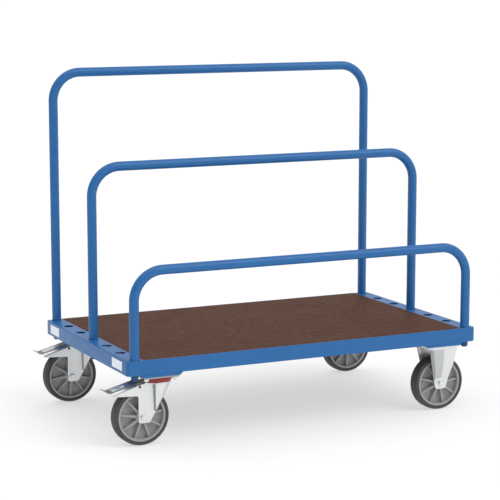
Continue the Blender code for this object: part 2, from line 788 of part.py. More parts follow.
def build_castors(trolley, paints):
    """Four castors: fixed ones at +X, swivel ones with brakes at -X."""
    zinc = paints["zinc"]
    parts = {
        "tyre": tyre(),
        "bearing": ring(AXLE_RADIUS + GAP, BORE_RADIUS - 0.6 * MM, -BEARING_HALF, BEARING_HALF, "Y"),
        "left_pad": mounting_plate(SWIVEL_BOLTS),
        "right_pad": mounting_plate(FIXED_BOLTS),
        "axle": axle(),
        "plate": swivel_plate(),
        "kingpin": kingpin(),
        "fork": fork(),
        "seal": seal_ring(),
        "race": ring(20 * MM, 38 * MM, CROWN_TOP + GAP, RACE_BOTTOM - GAP),
        "pedal": pedal(),
        "shoe": brake_shoe(),
        "pin": disc(PEDAL_PIN_RADIUS, -LEG_OUTER - 2.5 * MM, LEG_OUTER + 2.5 * MM, "Y"),
        "bracket": fixed_bracket(),
    }
    for row, y in (("front", -CASTOR_Y), ("rear", CASTOR_Y)):
        for end, x in (("left", -CASTOR_X), ("right", CASTOR_X)):
            pad = f"mounting_plate_{row}_{end}"
            place(pad, parts[f"{end}_pad"], paints["blue_paint"], trolley, (x, y, 0))
        right = pivot(f"fixed_castor_{row}", trolley, (CASTOR_X, y, 0))
        place(f"fixed_bracket_{row}", parts["bracket"], zinc, right)
        hub = (0, 0, WHEEL_RADIUS)
        place(f"fixed_axle_{row}", parts["axle"], zinc, right, hub, smooth=True)
        build_wheel(f"fixed_wheel_{row}", right, hub, parts, paints)

        left = pivot(f"swivel_castor_{row}", trolley, (-CASTOR_X, y, 0))
        place(f"swivel_plate_{row}", parts["plate"], zinc, left)
        place(f"kingpin_{row}", parts["kingpin"], zinc, left, smooth=True)
        swivel = pivot(f"fork_{row}_swivel", left, (0, 0, 0))
        place(f"fork_{row}", parts["fork"], zinc, swivel)
        place(f"seal_{row}", parts["seal"], paints["red_seal"], swivel, smooth=True)
        race = f"swivel_bearing_{row}"
        place(race, parts["race"], paints["dark_steel"], swivel, smooth=True)
        hub = (-TRAIL, 0, WHEEL_RADIUS)
        place(f"swivel_axle_{row}", parts["axle"], zinc, swivel, hub, smooth=True)
        build_wheel(f"swivel_wheel_{row}", swivel, hub, parts, paints)
        hinge = (PEDAL_PIVOT[0], 0, PEDAL_PIVOT[1])
        pin = f"pedal_pin_{row}"
        place(pin, parts["pin"], paints["dark_steel"], swivel, hinge, smooth=True)
        rocker = pivot(f"pedal_{row}_hinge", swivel, hinge)
        place(f"brake_pedal_{row}", parts["pedal"], zinc, rocker)
        place(f"brake_shoe_{row}", parts["shoe"], paints["dark_steel"], rocker)


def main():
    clear_scene()
    paints = {
        "blue_paint": paint("blue_paint", (0.045, 0.155, 0.42), 0.35),
        "deck_film": paint("deck_film", (0.09, 0.045, 0.025), 0.5),
        "zinc": paint("zinc", (0.72, 0.74, 0.76), 0.35, 0.9),
        "dark_steel": paint("dark_steel", (0.05, 0.05, 0.055), 0.45, 0.8),
        "red_seal": paint("red_seal", (0.5, 0.02, 0.02), 0.45),
        "wheel_grey": paint("wheel_grey", (0.3, 0.31, 0.32), 0.5),
        "tyre_dark": paint("tyre_dark", (0.045, 0.047, 0.05), 0.7),
        "label_white": paint("label_white", (0.85, 0.86, 0.87), 0.4),
    }
    trolley = pivot("trolley", None, (DECK_X, 0, 0))
    build_frame(trolley, paints)
    build_hoops(trolley, paints)
    build_castors(trolley, paints)


main()
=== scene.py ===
"""Looks of the platform trolley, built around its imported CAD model.

Every piece takes its place from a CAD node's box. Shapes are drawn in millimetres about
their own axis, in the same directions as the frame: +X towards the fixed castors, +Y
towards the tall hoop, +Z up.
"""

import math

import bmesh
import bpy
from mathutils import Euler, Matrix, Vector


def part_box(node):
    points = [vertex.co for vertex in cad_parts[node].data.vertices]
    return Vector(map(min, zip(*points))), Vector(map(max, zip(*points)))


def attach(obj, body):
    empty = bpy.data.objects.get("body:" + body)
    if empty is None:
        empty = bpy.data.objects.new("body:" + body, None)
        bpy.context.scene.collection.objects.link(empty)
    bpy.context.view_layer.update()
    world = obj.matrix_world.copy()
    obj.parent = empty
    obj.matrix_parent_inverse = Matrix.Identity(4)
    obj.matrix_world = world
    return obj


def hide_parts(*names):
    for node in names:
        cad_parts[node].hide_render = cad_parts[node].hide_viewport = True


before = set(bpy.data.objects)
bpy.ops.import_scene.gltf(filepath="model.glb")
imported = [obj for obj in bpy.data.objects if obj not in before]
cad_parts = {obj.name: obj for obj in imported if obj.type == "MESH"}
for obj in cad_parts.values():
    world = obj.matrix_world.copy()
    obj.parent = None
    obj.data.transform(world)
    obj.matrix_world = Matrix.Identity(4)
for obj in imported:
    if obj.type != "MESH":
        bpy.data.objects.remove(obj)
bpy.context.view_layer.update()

MM = 0.001
SCENE = bpy.context.scene

# Sheet steel and tube.
SHEET = 3.0
BEND = 3.4
SHELF = 30.0
WELD_GAP = 0.3
DECK_THICKNESS = 15.0
TUBE_RADIUS = 16.85
TUBE_WALL = 2.5
HOOP_BEND = 104.0
SPIGOT_RADIUS = 12.7
HOLE_RADIUS = 18.05
LOW_HOLE_RADIUS = 13.9
HOLE_COUNT = 7

# Castors, from the middle of the wheel or of the swivel axis at floor level.
WHEEL_RADIUS = 100.0
TRAIL = 61.0
LEG_INNER = 27.5
LEG_OUTER = 31.5
PLATE_TOP = 241.0
PLATE_SHEET = 6.0
CROWN_BOTTOM = 213.0
CROWN_TOP = 219.0
PEDAL_PIVOT = (-72.0, 206.5)
PEDAL_LINE = ((-195.0, 201.6), (-176.0, 193.6), (-81.0, 219.5), (-66.5, 221.5))
PEDAL_SHEET = 2.5
EAR_HALF = 26.3
TREAD_HALF = 28.0
SKIRT_HALF = 37.0
SKIRT_DROP = 6.0
AXLE_HOLE = 6.3
PIN_HOLE = 3.8
RIB_COUNT = 9
SWIVEL_BOLTS = (52.5, 40.0)
FIXED_BOLTS = (40.0, 27.0)

# How far each wheel is turned from the place where a rib points to +X, in degrees.
RIB_TURNS = {
    "fixed_wheel_front": 34.7,
    "fixed_wheel_rear": 11.0,
    "swivel_wheel_front": 28.5,
    "swivel_wheel_rear": 12.6,
}

# Pressings: the share of triangles kept, the second and third places in a piece's list, for the
# material of painted shade or painted highlight and for the one of lighter painted shade, and
# the lean at which a bracket's face turns into its flank, where its darker painted shade begins.
KEPT_SHARE = 0.35
PAINTED_LIGHT_PLACE, PAINTED_HALF_SHADE_PLACE = 1, 2
FLANK_LEAN = -0.14

# Light: the surround's brightness at -X, at +X and in a band along the horizon.
SURROUND_LEFT, SURROUND_RIGHT = 0.55, 1.0
HORIZON_LIGHT, HORIZON_HEIGHT = 1.28, 0.13
SURROUND_STRENGTH = 0.78
FLOOR_GLOW = 0.56
FLOOR_RADIUS = 600.0

# Camera: from the middle of the frame in metres, turned in degrees.
CAMERA_PLACE = (-2.8467, -5.8359, 1.5949)
CAMERA_TURN = (81.098, 0, -25.718)
CAMERA_LENS = 128.78


# ---------------------------------------------------------------- materials


class Nodes:
    """A small helper that adds shader nodes and links them by name."""

    def __init__(self, name, colour, roughness, metallic=0.0):
        self.material = bpy.data.materials.new(name)
        self.material.use_nodes = True
        self.tree = self.material.node_tree
        self.shader = self.tree.nodes["Principled BSDF"]
        self.shader.inputs["Base Color"].default_value = (*colour, 1)
        self.shader.inputs["Roughness"].default_value = roughness
        self.shader.inputs["Metallic"].default_value = metallic
        self.place = self.add("ShaderNodeTexCoord").outputs["Object"]

    def add(self, kind, **values):
        node = self.tree.nodes.new(kind)
        for key, value in values.items():
            if hasattr(node, key):
                setattr(node, key, value)
            else:
                node.inputs[key.replace("_", " ")].default_value = value
        return node

    def link(self, source, target):
        self.tree.links.new(source, target)

    def noise(self, scale, detail=3.0, stretch=None):
        """Noise over the object's own axes. Scale is in cells to a metre."""
        texture = self.add("ShaderNodeTexNoise", Scale=scale, Detail=detail)
        if stretch:
            mapping = self.add("ShaderNodeMapping")
            mapping.inputs["Scale"].default_value = stretch
            self.link(self.place, mapping.inputs["Vector"])
            self.link(mapping.outputs["Vector"], texture.inputs["Vector"])
        else:
            self.link(self.place, texture.inputs["Vector"])
        return texture.outputs["Fac"]

    def spread(self, value, low, high, start=0.3, end=0.7):
        """Maps a 0 to 1 pattern onto the range from low to high."""
        node = self.add("ShaderNodeMapRange")
        node.inputs["From Min"].default_value = start
        node.inputs["From Max"].default_value = end
        node.inputs["To Min"].default_value = low
        node.inputs["To Max"].default_value = high
        self.link(value, node.inputs["Value"])
        return node.outputs["Result"]

    def blend(self, value, first, second):
        """A colour between two, by a 0 to 1 pattern."""
        node = self.add("ShaderNodeMix", data_type="RGBA")
        for socket, colour in (("A_Color", first), ("B_Color", second)):
            target = next(s for s in node.inputs if s.identifier == socket)
            if isinstance(colour, tuple):
                target.default_value = (*colour, 1)
            else:
                self.link(colour, target)
        self.link(value, node.inputs[0])
        return next(s for s in node.outputs if s.identifier == "Result_Color")

    def math(self, operation, first, second=None):
        node = self.add("ShaderNodeMath", operation=operation)
        for index, value in enumerate((first, second)):
            if value is None:
                continue
            if isinstance(value, (int, float)):
                node.inputs[index].default_value = value
            else:
                self.link(value, node.inputs[index])
        return node.outputs[0]

    def bump(self, value, depth, before=None):
        """Relief of a given depth in metres, on top of an earlier one."""
        node = self.add("ShaderNodeBump", Strength=1.0, Distance=depth)
        self.link(value, node.inputs["Height"])
        if before:
            self.link(before, node.inputs["Normal"])
        return node.outputs["Normal"]

    def finish(self, colour=None, roughness=None, normal=None, **sockets):
        if colour:
            self.link(colour, self.shader.inputs["Base Color"])
        if roughness:
            self.link(roughness, self.shader.inputs["Roughness"])
        if normal:
            self.link(normal, self.shader.inputs["Normal"])
        for key, value in sockets.items():
            self.shader.inputs[key.replace("_", " ")].default_value = value
        return self.material


def powder_coat(name, tone=1.0):
    """Blue powder coat: orange peel, and a little cloudiness in colour and gloss."""
    # A tone below one darkens the whole coat, which paints shade; the spigots use half.
    n = Nodes(name, (0.018 * tone, 0.134 * tone, 0.372 * tone), 0.36)
    cloud = n.noise(9.0, 2.0)
    low = (0.014 * tone, 0.124 * tone, 0.350 * tone)
    colour = n.blend(cloud, low, (0.021 * tone, 0.145 * tone, 0.396 * tone))
    rough = n.spread(n.noise(55.0, 4.0), 0.31, 0.40)
    peel = n.bump(n.noise(420.0, 2.0), 0.00010)
    grain = n.bump(n.noise(1500.0, 2.0), 0.00002, peel)
    return n.finish(colour, rough, grain, Specular_IOR_Level=0.34)


def zinc(name, tone, roughness, relief=1.0, metallic=0.92):
    """Bright zinc plate on pressed steel: soft clouding and fine rolling lines."""
    n = Nodes(name, (tone, tone, tone), roughness, metallic)
    cloud = n.noise(38.0, 4.0)
    low = (tone * 0.93, tone * 0.955, tone * 0.965)
    colour = n.blend(cloud, low, (tone * 1.04, tone * 1.05, tone * 1.05))
    rough = n.spread(n.noise(130.0, 5.0), roughness - 0.07, roughness + 0.07)
    lines = n.bump(n.noise(420.0, 3.0, (1.0, 1.0, 0.12)), 0.00005 * relief)
    spangle = n.bump(n.noise(900.0, 2.0), 0.00003 * relief, lines)
    return n.finish(colour, rough, spangle)


def dark_steel():
    n = Nodes("dark_steel", (0.03, 0.03, 0.033), 0.42, 0.7)
    colour = n.blend(n.noise(120.0), (0.022, 0.022, 0.025), (0.05, 0.05, 0.055))
    rough = n.spread(n.noise(260.0), 0.32, 0.52)
    return n.finish(colour, rough, n.bump(n.noise(700.0), 0.00005))


def red_plastic():
    n = Nodes("red_seal_plastic", (0.28, 0.012, 0.012), 0.4)
    colour = n.blend(n.noise(60.0), (0.25, 0.010, 0.010), (0.32, 0.015, 0.014))
    rough = n.spread(n.noise(300.0), 0.22, 0.32)
    return n.finish(colour, rough, n.bump(n.noise(1200.0), 0.00002))


def moulded_grey(name, tone):
    """Silver-grey moulded plastic with a fine spark-eroded grain."""
    n = Nodes(name, (tone, tone, tone), 0.46)
    low = (tone * 0.93, tone * 0.935, tone * 0.94)
    colour = n.blend(n.noise(45.0, 4.0), low, (tone * 1.06, tone * 1.065, tone * 1.07))
    rough = n.spread(n.noise(160.0), 0.38, 0.54)
    grain = n.bump(n.noise(1600.0, 2.0), 0.00004)
    return n.finish(colour, rough, grain)


def tyre_rubber():
    """Dark grey elastic rubber: dusty clouds, mould grain and a matt surface."""
    n = Nodes("tyre_rubber", (0.06, 0.06, 0.06), 0.66)
    colour = n.blend(n.noise(50.0, 5.0), (0.046, 0.046, 0.047), (0.070, 0.070, 0.069))
    rough = n.spread(n.noise(90.0, 5.0), 0.56, 0.76)
    grain = n.bump(n.noise(850.0, 4.0), 0.00010)
    return n.finish(colour, rough, grain)


def deck_mesh_film():
    """The deck's top: brown phenolic film with a fine wire mesh pressed into it."""
    n = Nodes("deck_film_mesh", (0.1, 0.055, 0.035), 0.42)
    ridges = []
    for turn in (45.0, -45.0):
        mapping = n.add("ShaderNodeMapping")
        mapping.inputs["Rotation"].default_value = (0, 0, math.radians(turn))
        wave = n.add("ShaderNodeTexWave", wave_profile="SIN", Scale=70.0)
        n.link(n.place, mapping.inputs["Vector"])
        n.link(mapping.outputs["Vector"], wave.inputs["Vector"])
        ridges.append(n.math("POWER", wave.outputs["Fac"], 4.0))
    net = n.math("MAXIMUM", ridges[0], ridges[1])
    cloud = n.blend(n.noise(6.0, 5.0), (0.086, 0.033, 0.018), (0.130, 0.054, 0.031))
    fibre = n.noise(60.0, 5.0, (0.15, 1.0, 1.0))
    colour = n.blend(n.spread(fibre, 0.0, 0.5), cloud, (0.050, 0.023, 0.015))
    rough = n.spread(n.noise(40.0, 4.0), 0.50, 0.64)
    return n.finish(colour, rough, n.bump(net, 0.00035), Specular_IOR_Level=0.06)


def deck_plain_film():
    """The deck's underside: the same film, smooth, over the faint grain of the veneer."""
    n = Nodes("deck_film_smooth", (0.08, 0.042, 0.027), 0.4)
    grain = n.noise(30.0, 6.0, (0.08, 1.0, 1.0))
    colour = n.blend(grain, (0.060, 0.031, 0.021), (0.100, 0.054, 0.036))
    rough = n.spread(n.noise(25.0), 0.30, 0.42)
    return n.finish(colour, rough, n.bump(grain, 0.00008))


def plywood_edge():
    """The deck's edges: thin veneers, light and dark in turn, under a brown sealer."""
    n = Nodes("deck_edge_plies", (0.2, 0.12, 0.07), 0.6)
    split = n.add("ShaderNodeSeparateXYZ")
    n.link(n.place, split.inputs[0])
    plies = n.math("FRACT", n.math("MULTIPLY", split.outputs["Z"], 1 / (2 * 1.4 * MM)))
    bands = n.spread(plies, 0.0, 1.0, 0.42, 0.58)
    colour = n.blend(bands, (0.12, 0.065, 0.038), (0.24, 0.145, 0.085))
    rough = n.spread(n.noise(400.0), 0.5, 0.7)
    return n.finish(colour, rough, n.bump(n.noise(300.0, 4.0, (1, 1, 6)), 0.0002))


def label_film():
    """A blank white film sticker."""
    n = Nodes("label_film", (0.82, 0.86, 0.92), 0.28)
    colour = n.blend(n.noise(25.0), (0.84, 0.90, 0.97), (0.87, 0.92, 0.98))
    rough = n.spread(n.noise(60.0), 0.36, 0.44)
    return n.finish(colour, rough, n.bump(n.noise(60.0), 0.00001))


def floor_paint():
    """A pale floor that gives off some light of its own, so that its shadow is light."""
    n = Nodes("pale_floor", (0.42, 0.42, 0.42), 0.8)
    colour = n.blend(n.noise(0.6, 2.0), (0.415, 0.415, 0.415), (0.425, 0.425, 0.425))
    n.shader.inputs["Emission Color"].default_value = (1, 1, 1, 1)
    return n.finish(colour, Emission_Strength=FLOOR_GLOW)


# ------------------------------------------------------------- mesh building


def to_mesh(shape):
    """Turns a bmesh into a mesh whose faces point out."""
    bmesh.ops.remove_doubles(shape, verts=shape.verts, dist=0.001)
    shape.normal_update()
    bmesh.ops.recalc_face_normals(shape, faces=shape.faces)
    mesh = bpy.data.meshes.new("shape")
    shape.to_mesh(mesh)
    shape.free()
    return mesh


def fillet(corners, steps=6):
    """A closed outline from corners given as (u, v, radius of the rounding)."""
    points = []
    for index, (u, v, radius) in enumerate(corners):
        here = Vector((u, v))
        if not radius:
            points.append(here)
            continue
        before = (Vector(corners[index - 1][:2]) - here).normalized()
        after = (Vector(corners[(index + 1) % len(corners)][:2]) - here).normalized()
        half = before.angle(after) / 2
        centre = here + (before + after).normalized() * (radius / math.sin(half))
        reach = radius / math.tan(half)
        first = here + before * reach - centre
        last = here + after * reach - centre
        start = math.atan2(first.y, first.x)
        sweep = (math.atan2(last.y, last.x) - start + math.pi) % math.tau - math.pi
        for step in range(steps + 1):
            angle = start + sweep * step / steps
            points.append(centre + radius * Vector((math.cos(angle), math.sin(angle))))
    return points


def rectangle(u_low, v_low, u_high, v_high, radius=0.0):
    places = ((u_low, v_low), (u_high, v_low), (u_high, v_high), (u_low, v_high))
    return [(u, v, radius) for u, v in places]


def turns(steps):
    """Evenly spaced angles round a full circle."""
    return [math.tau * step / steps for step in range(steps)]


def spot(axis, u, v, w):
    """A point from two coordinates in a plane and one along the axis across it."""
    return {"X": (w, u, v), "Y": (u, w, v), "Z": (u, v, w)}[axis]


def prism(outline, axis, low, high):
    shape = bmesh.new()
    face = shape.faces.new([shape.verts.new(spot(axis, u, v, low)) for u, v in outline])
    extruded = bmesh.ops.extrude_face_region(shape, geom=[face])
    grown = [v for v in extruded["geom"] if isinstance(v, bmesh.types.BMVert)]
    bmesh.ops.translate(shape, vec=Vector(spot(axis, 0, 0, high - low)), verts=grown)
    return to_mesh(shape)


def box(low, high):
    return prism(fillet(rectangle(low[0], low[1], high[0], high[1])), "Z", low[2], high[2])


def lathe(profile, axis, steps, closed=False):
    """A profile of (radius, height) spun about an axis. A closed one makes a ring."""
    shape = bmesh.new()
    points = [shape.verts.new(spot(axis, radius, 0, height)) for radius, height in profile]
    edges = [shape.edges.new(pair) for pair in zip(points, points[1:])]
    if closed:
        edges.append(shape.edges.new((points[-1], points[0])))
    bmesh.ops.spin(
        shape,
        geom=points + edges,
        cent=(0, 0, 0),
        axis=spot(axis, 0, 0, 1),
        angle=math.tau,
        steps=steps,
        use_merge=True,
    )
    return to_mesh(shape)


def disc(radius, low, high, axis="Z", steps=48):
    return lathe([(0, low), (radius, low), (radius, high), (0, high)], axis, steps)


def hull(points):
    shape = bmesh.new()
    for point in points:
        shape.verts.new(point)
    bmesh.ops.convex_hull(shape, input=shape.verts)
    return to_mesh(shape)


def merged(*meshes):
    """Several meshes gathered into one, each still its own closed body."""
    shape = bmesh.new()
    for mesh in meshes:
        shape.from_mesh(mesh)
    mesh = bpy.data.meshes.new("shape")
    shape.to_mesh(mesh)
    shape.free()
    return mesh


def moved(mesh, offset=(0, 0, 0), turn=None):
    """A copy of a mesh, turned about the origin and then shifted."""
    copy = mesh.copy()
    copy.transform(Matrix.Translation(offset) @ (turn or Matrix.Identity(4)))
    return copy


def mirrored(mesh, axis):
    shape = bmesh.new()
    shape.from_mesh(mesh)
    for vertex in shape.verts:
        vertex.co["XYZ".index(axis)] *= -1
    return to_mesh(shape)


def evaluated(item):
    """The mesh that an object's modifiers make, with the object removed again."""
    graph = bpy.context.evaluated_depsgraph_get()
    result = bpy.data.meshes.new_from_object(item.evaluated_get(graph))
    bpy.data.objects.remove(item)
    return result


def loose(mesh):
    item = bpy.data.objects.new("operand", mesh)
    SCENE.collection.objects.link(item)
    return item


def boolean(base, tool, operation):
    first, second = loose(base), loose(tool)
    modifier = first.modifiers.new("boolean", "BOOLEAN")
    modifier.operation = operation
    modifier.solver = "EXACT"
    modifier.object = second
    result = evaluated(first)
    bpy.data.objects.remove(second)
    return result


def union(base, *tools):
    for tool in tools:
        base = boolean(base, tool, "UNION")
    return base


def cut(base, *tools):
    for tool in tools:
        base = boolean(base, tool, "DIFFERENCE")
    return base


def pressed(mesh, cell=1.1, rounds=8):
    """Sheet steel as the press leaves it: every edge and inner corner slightly round."""
    item = loose(mesh)
    remesh = item.modifiers.new("remesh", "REMESH")
    remesh.mode = "VOXEL"
    remesh.voxel_size = cell
    smooth = item.modifiers.new("smooth", "SMOOTH")
    smooth.factor = 0.5
    smooth.iterations = rounds
    thin = item.modifiers.new("thin", "DECIMATE")
    thin.ratio = KEPT_SHARE
    return evaluated(item)


def swept(path, radius, sides, ends=True):
    """A round bar along a path in space."""
    shape = bmesh.new()
    rings = []
    side = None
    for index, here in enumerate(path):
        ahead = path[min(index + 1, len(path) - 1)] - path[max(index - 1, 0)]
        along = ahead.normalized()
        if side is None:
            side = along.orthogonal().normalized()
        side = (side - along * side.dot(along)).normalized()
        other = along.cross(side)
        size = radius(index) if callable(radius) else radius
        ring = []
        for step in range(sides):
            angle = math.tau * step / sides
            offset = side * math.cos(angle) + other * math.sin(angle)
            ring.append(shape.verts.new(here + offset * size))
        rings.append(ring)
    for low, high in zip(rings, rings[1:]):
        for step in range(sides):
            nearby = (step + 1) % sides
            shape.faces.new((low[step], low[nearby], high[nearby], high[step]))
    if ends:
        shape.faces.new(rings[0])
        shape.faces.new(rings[-1])
    return to_mesh(shape)


def add(name, mesh, materials, body, at, replaced=(), slot=None, bevel=0.0, angle=35.0):
    """Places one piece: a mesh in millimetres, about a point of the frame in metres."""
    mesh = mesh.copy()
    mesh.transform(Matrix.Translation(at) @ Matrix.Scale(MM, 4))
    kept = [polygon.material_index for polygon in mesh.polygons]
    mesh.materials.clear()
    for material in materials:
        mesh.materials.append(material)
    if len(materials) > 1:
        for polygon, index in zip(mesh.polygons, kept):
            polygon.material_index = index
    mesh.shade_smooth()
    item = bpy.data.objects.new(name, mesh)
    SCENE.collection.objects.link(item)
    if bevel:
        modifier = item.modifiers.new("edges", "BEVEL")
        modifier.width = bevel * MM
        modifier.segments = 3
        modifier.limit_method = "ANGLE"
        modifier.angle_limit = math.radians(angle)
        modifier.harden_normals = True
        modifier.miter_outer = "MITER_ARC"
    else:
        mesh.set_sharp_from_angle(angle=math.radians(angle))
    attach(item, body)
    if replaced:
        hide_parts(*replaced)
    return item


def cover(node, part, mesh, materials, body, at, slot="zinc", **edges):
    """Adds the piece that stands for one CAD node, and is named after it."""
    add(f"{node}_{part}", mesh, materials, body, at, [node], slot, **edges)


def middle(node):
    """The middle of a CAD node's box."""
    low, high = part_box(node)
    return (low + high) / 2


def on_floor(point):
    return Vector((point.x, point.y, 0))


# -------------------------------------------------------------------- frame


def frame_sizes():
    """The frame's own measures in millimetres, about the middle of the deck."""
    left_low, left_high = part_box("left_hole_strip")
    right_low, right_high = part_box("right_hole_strip")
    return {
        "at": Vector(((left_low.x + right_high.x) / 2, 0, 0)),
        "half_length": (right_high.x - left_low.x) / 2 / MM,
        "inner_x": (right_low.x - left_high.x) / 2 / MM,
        "half_width": left_high.y / MM,
        "low": left_low.z / MM,
        "high": left_high.z / MM,
    }


def rounded_slab(corners, low, high, radius, steps=5):
    """A prism whose top and bottom edges are rounded, as on a bent channel."""
    shape = bmesh.new()
    rows = []
    for step in range(steps + 1):
        angle = math.pi / 2 * step / steps
        rows.append((radius * (1 - math.sin(angle)), low + radius * (1 - math.cos(angle))))
    for inset, height in [(i, low + high - h) for i, h in reversed(rows)]:
        rows.append((inset, height))
    loops = []
    for inset, height in rows:
        shrunk = []
        for u, v, corner in corners:
            du = 0.0 if not corner else math.copysign(inset, -u)
            dv = math.copysign(inset, -v)
            shrunk.append((u + du, v + dv, max(corner - inset, 0.5) if corner else 0))
        outline = fillet(shrunk, 8)
        loops.append([shape.verts.new((p.x, p.y, height)) for p in outline])
    for lower, upper in zip(loops, loops[1:]):
        for side in range(len(lower)):
            nearby = (side + 1) % len(lower)
            shape.faces.new((lower[side], lower[nearby], upper[nearby], upper[side]))
    shape.faces.new(loops[0])
    shape.faces.new(loops[-1])
    return to_mesh(shape)


def hole_strip(size, leg_x, hole_ys):
    """The left hole strip: a bent channel with closed ends and two rows of holes."""
    outer_x, inner_x, width = size["half_length"], size["inner_x"], size["half_width"]
    corners = [
        (-outer_x, -width, 14.0), (-inner_x, -width, 0), (-inner_x, width, 0),
        (-outer_x, width, 14.0),
    ]
    slab = rounded_slab(corners, size["low"], size["high"], BEND)
    hollow_corners = [
        (-outer_x + SHEET, -width + SHEET, 11.0), (-inner_x + SHEET, -width + SHEET, 0),
        (-inner_x + SHEET, width - SHEET, 0), (-outer_x + SHEET, width - SHEET, 11.0),
    ]
    hollow = prism(fillet(hollow_corners), "Z", size["low"] + SHEET, size["high"] - SHEET)
    holes = []
    for y in hole_ys:
        top = disc(HOLE_RADIUS, size["high"] - 2 * SHEET, size["high"] + SHEET)
        low = disc(LOW_HOLE_RADIUS, size["low"] - SHEET, size["low"] + 2 * SHEET)
        holes += [moved(top, (-leg_x, y, 0)), moved(low, (-leg_x, y, 0))]
    return cut(slab, hollow, merged(*holes))


def rail(size):
    """The front rail: a web with a shelf bent inwards under the deck's edge."""
    width, low, high = size["half_width"], size["low"], size["high"]
    shelf_top = high - DECK_THICKNESS - WELD_GAP
    section = [
        (-width, low, 0), (-width, high, 0), (-width + SHEET, high, 0),
        (-width + SHEET, shelf_top, 0), (-width + SHELF, shelf_top, 0),
        (-width + SHELF, shelf_top - SHEET, 0), (-width + SHEET, shelf_top - SHEET, 2.0),
        (-width + SHEET, low, 0),
    ]
    reach = size["inner_x"]
    return prism(fillet(section, 4), "X", -reach, reach)


def bead(start, end, radius=2.0, pitch=2.4):
    """A weld bead along a straight seam: a bar with the ripples of each puddle."""
    run = Vector(end) - Vector(start)
    count = max(8, int(run.length / pitch * 4))
    path = [Vector(start) + run * step / count for step in range(count + 1)]

    def size(index):
        taper = min(1.0, (min(index, count - index) + 1) / 5)
        return radius * taper * (0.9 + 0.12 * math.cos(index * math.pi / 2))

    return swept(path, size, 10)


def deck_board(size):
    reach = size["inner_x"] - WELD_GAP
    width = size["half_width"] - SHEET - WELD_GAP
    low = size["high"] - DECK_THICKNESS
    board = box((-reach, -width, low), (reach, width, size["high"]))
    for polygon in board.polygons:
        if polygon.normal.z > 0.5:
            polygon.material_index = 0
        elif polygon.normal.z < -0.5:
            polygon.material_index = 1
        else:
            polygon.material_index = 2
    return board


def build_frame(size, paint, deck, sticker):
    at = size["at"]
    leg_x = middle("hoop_rear_spigot_right").x / MM - at.x / MM
    reach = middle("hoop_rear_spigot_right").y / MM
    hole_ys = [reach * (1 - index / 3) for index in range(HOLE_COUNT)]
    strip = hole_strip(size, leg_x, hole_ys)
    for name, mesh in (("left", strip), ("right", mirrored(strip, "X"))):
        node = f"{name}_hole_strip"
        cover(node, "folded", mesh, [paint], "frame", at, "blue_paint", bevel=0.45)
    front = rail(size)
    for name, mesh in (("front", front), ("rear", mirrored(front, "Y"))):
        node = f"{name}_rail"
        stood_for = [node, f"{node}_shelf"]
        add(f"{node}_folded", mesh, [paint], "frame", at, stood_for, "blue_paint", 0.7)
    board = deck_board(size)
    cover("deck_board", "faced", board, deck, "frame", at, "deck_film", bevel=0.5)
    for node in ("label_front", "label_rear"):
        low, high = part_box(node)
        half = ((high.y - low.y) / 2 / MM, (high.z - low.z) / 2 / MM)
        corners = rectangle(-half[0], -half[1], half[0], half[1], 2.0)
        thick = (high.x - low.x) / 2 / MM
        film = prism(fillet(corners), "X", -thick, thick + 0.25)
        cover(node, "film", film, [sticker], "frame", middle(node), "label_white")


def build_cross_members(size, paint):
    """Channels under the deck, welded to the rails at both ends."""
    for index in range(4):
        node = f"cross_member_{index + 1}"
        low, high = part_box(node)
        half = (high.x - low.x) / 2 / MM
        reach = high.y / MM
        base, top = low.z / MM, high.z / MM
        section = [
            (-half, base, 0), (-half, top, BEND), (half, top, BEND), (half, base, 0),
            (half - SHEET, base, 0), (half - SHEET, top - SHEET, 0.8),
            (-half + SHEET, top - SHEET, 0.8), (-half + SHEET, base, 0),
        ]
        member = prism(fillet(section, 5), "Y", -reach, reach)
        shelf = size["half_width"] - (SHELF + WELD_GAP)
        under = top - SHEET - WELD_GAP
        notch = box((-2 * half, shelf, under), (2 * half, reach + 1, top + 1))
        member = cut(member, notch, mirrored(notch, "Y"))
        at = Vector((middle(node).x, 0, 0))
        cover(node, "folded", member, [paint], "frame", at, "blue_paint", bevel=0.5)
        seams = []
        for side in (-1, 1):
            for end in (-1, 1):
                x = side * (half + 0.8)
                y = end * (reach - 1.2)
                seams.append(bead((x, y, base + 1), (x, y, top - SHEET - 4)))
        name = f"{node}_welds"
        add(name, merged(*seams), [paint], "frame", at, slot="blue_paint", angle=60)


# -------------------------------------------------------------------- hoops


def hoop_tube(leg_x, foot, top):
    """A bent tube, closed at both feet."""
    centre = top - TUBE_RADIUS
    path = [Vector((-leg_x, 0, foot)), Vector((-leg_x, 0, foot + 1))]
    for side in (-1, 1):
        for step in range(25):
            share = step / 24 if side < 0 else 1 - step / 24
            angle = share * math.pi / 2
            x = side * (leg_x - HOOP_BEND + HOOP_BEND * math.cos(angle))
            path.append(Vector((x, 0, centre - HOOP_BEND + HOOP_BEND * math.sin(angle))))
    path += [Vector((leg_x, 0, foot + 1)), Vector((leg_x, 0, foot))]
    return swept(path, TUBE_RADIUS, 48)


def spigot(foot, end, top):
    """The turned end of a hoop's leg, with a lead-in chamfer."""
    profile = [
        (0, end), (SPIGOT_RADIUS - 3.4, end), (SPIGOT_RADIUS - 2.6, end + 0.4),
        (SPIGOT_RADIUS - 0.4, end + 3.8), (SPIGOT_RADIUS, end + 4.8),
        (SPIGOT_RADIUS, foot + 1), (TUBE_RADIUS - TUBE_WALL - 0.6, foot + 2),
        (TUBE_RADIUS - TUBE_WALL - 0.6, top), (0, top),
    ]
    return lathe(profile, "Z", 40)


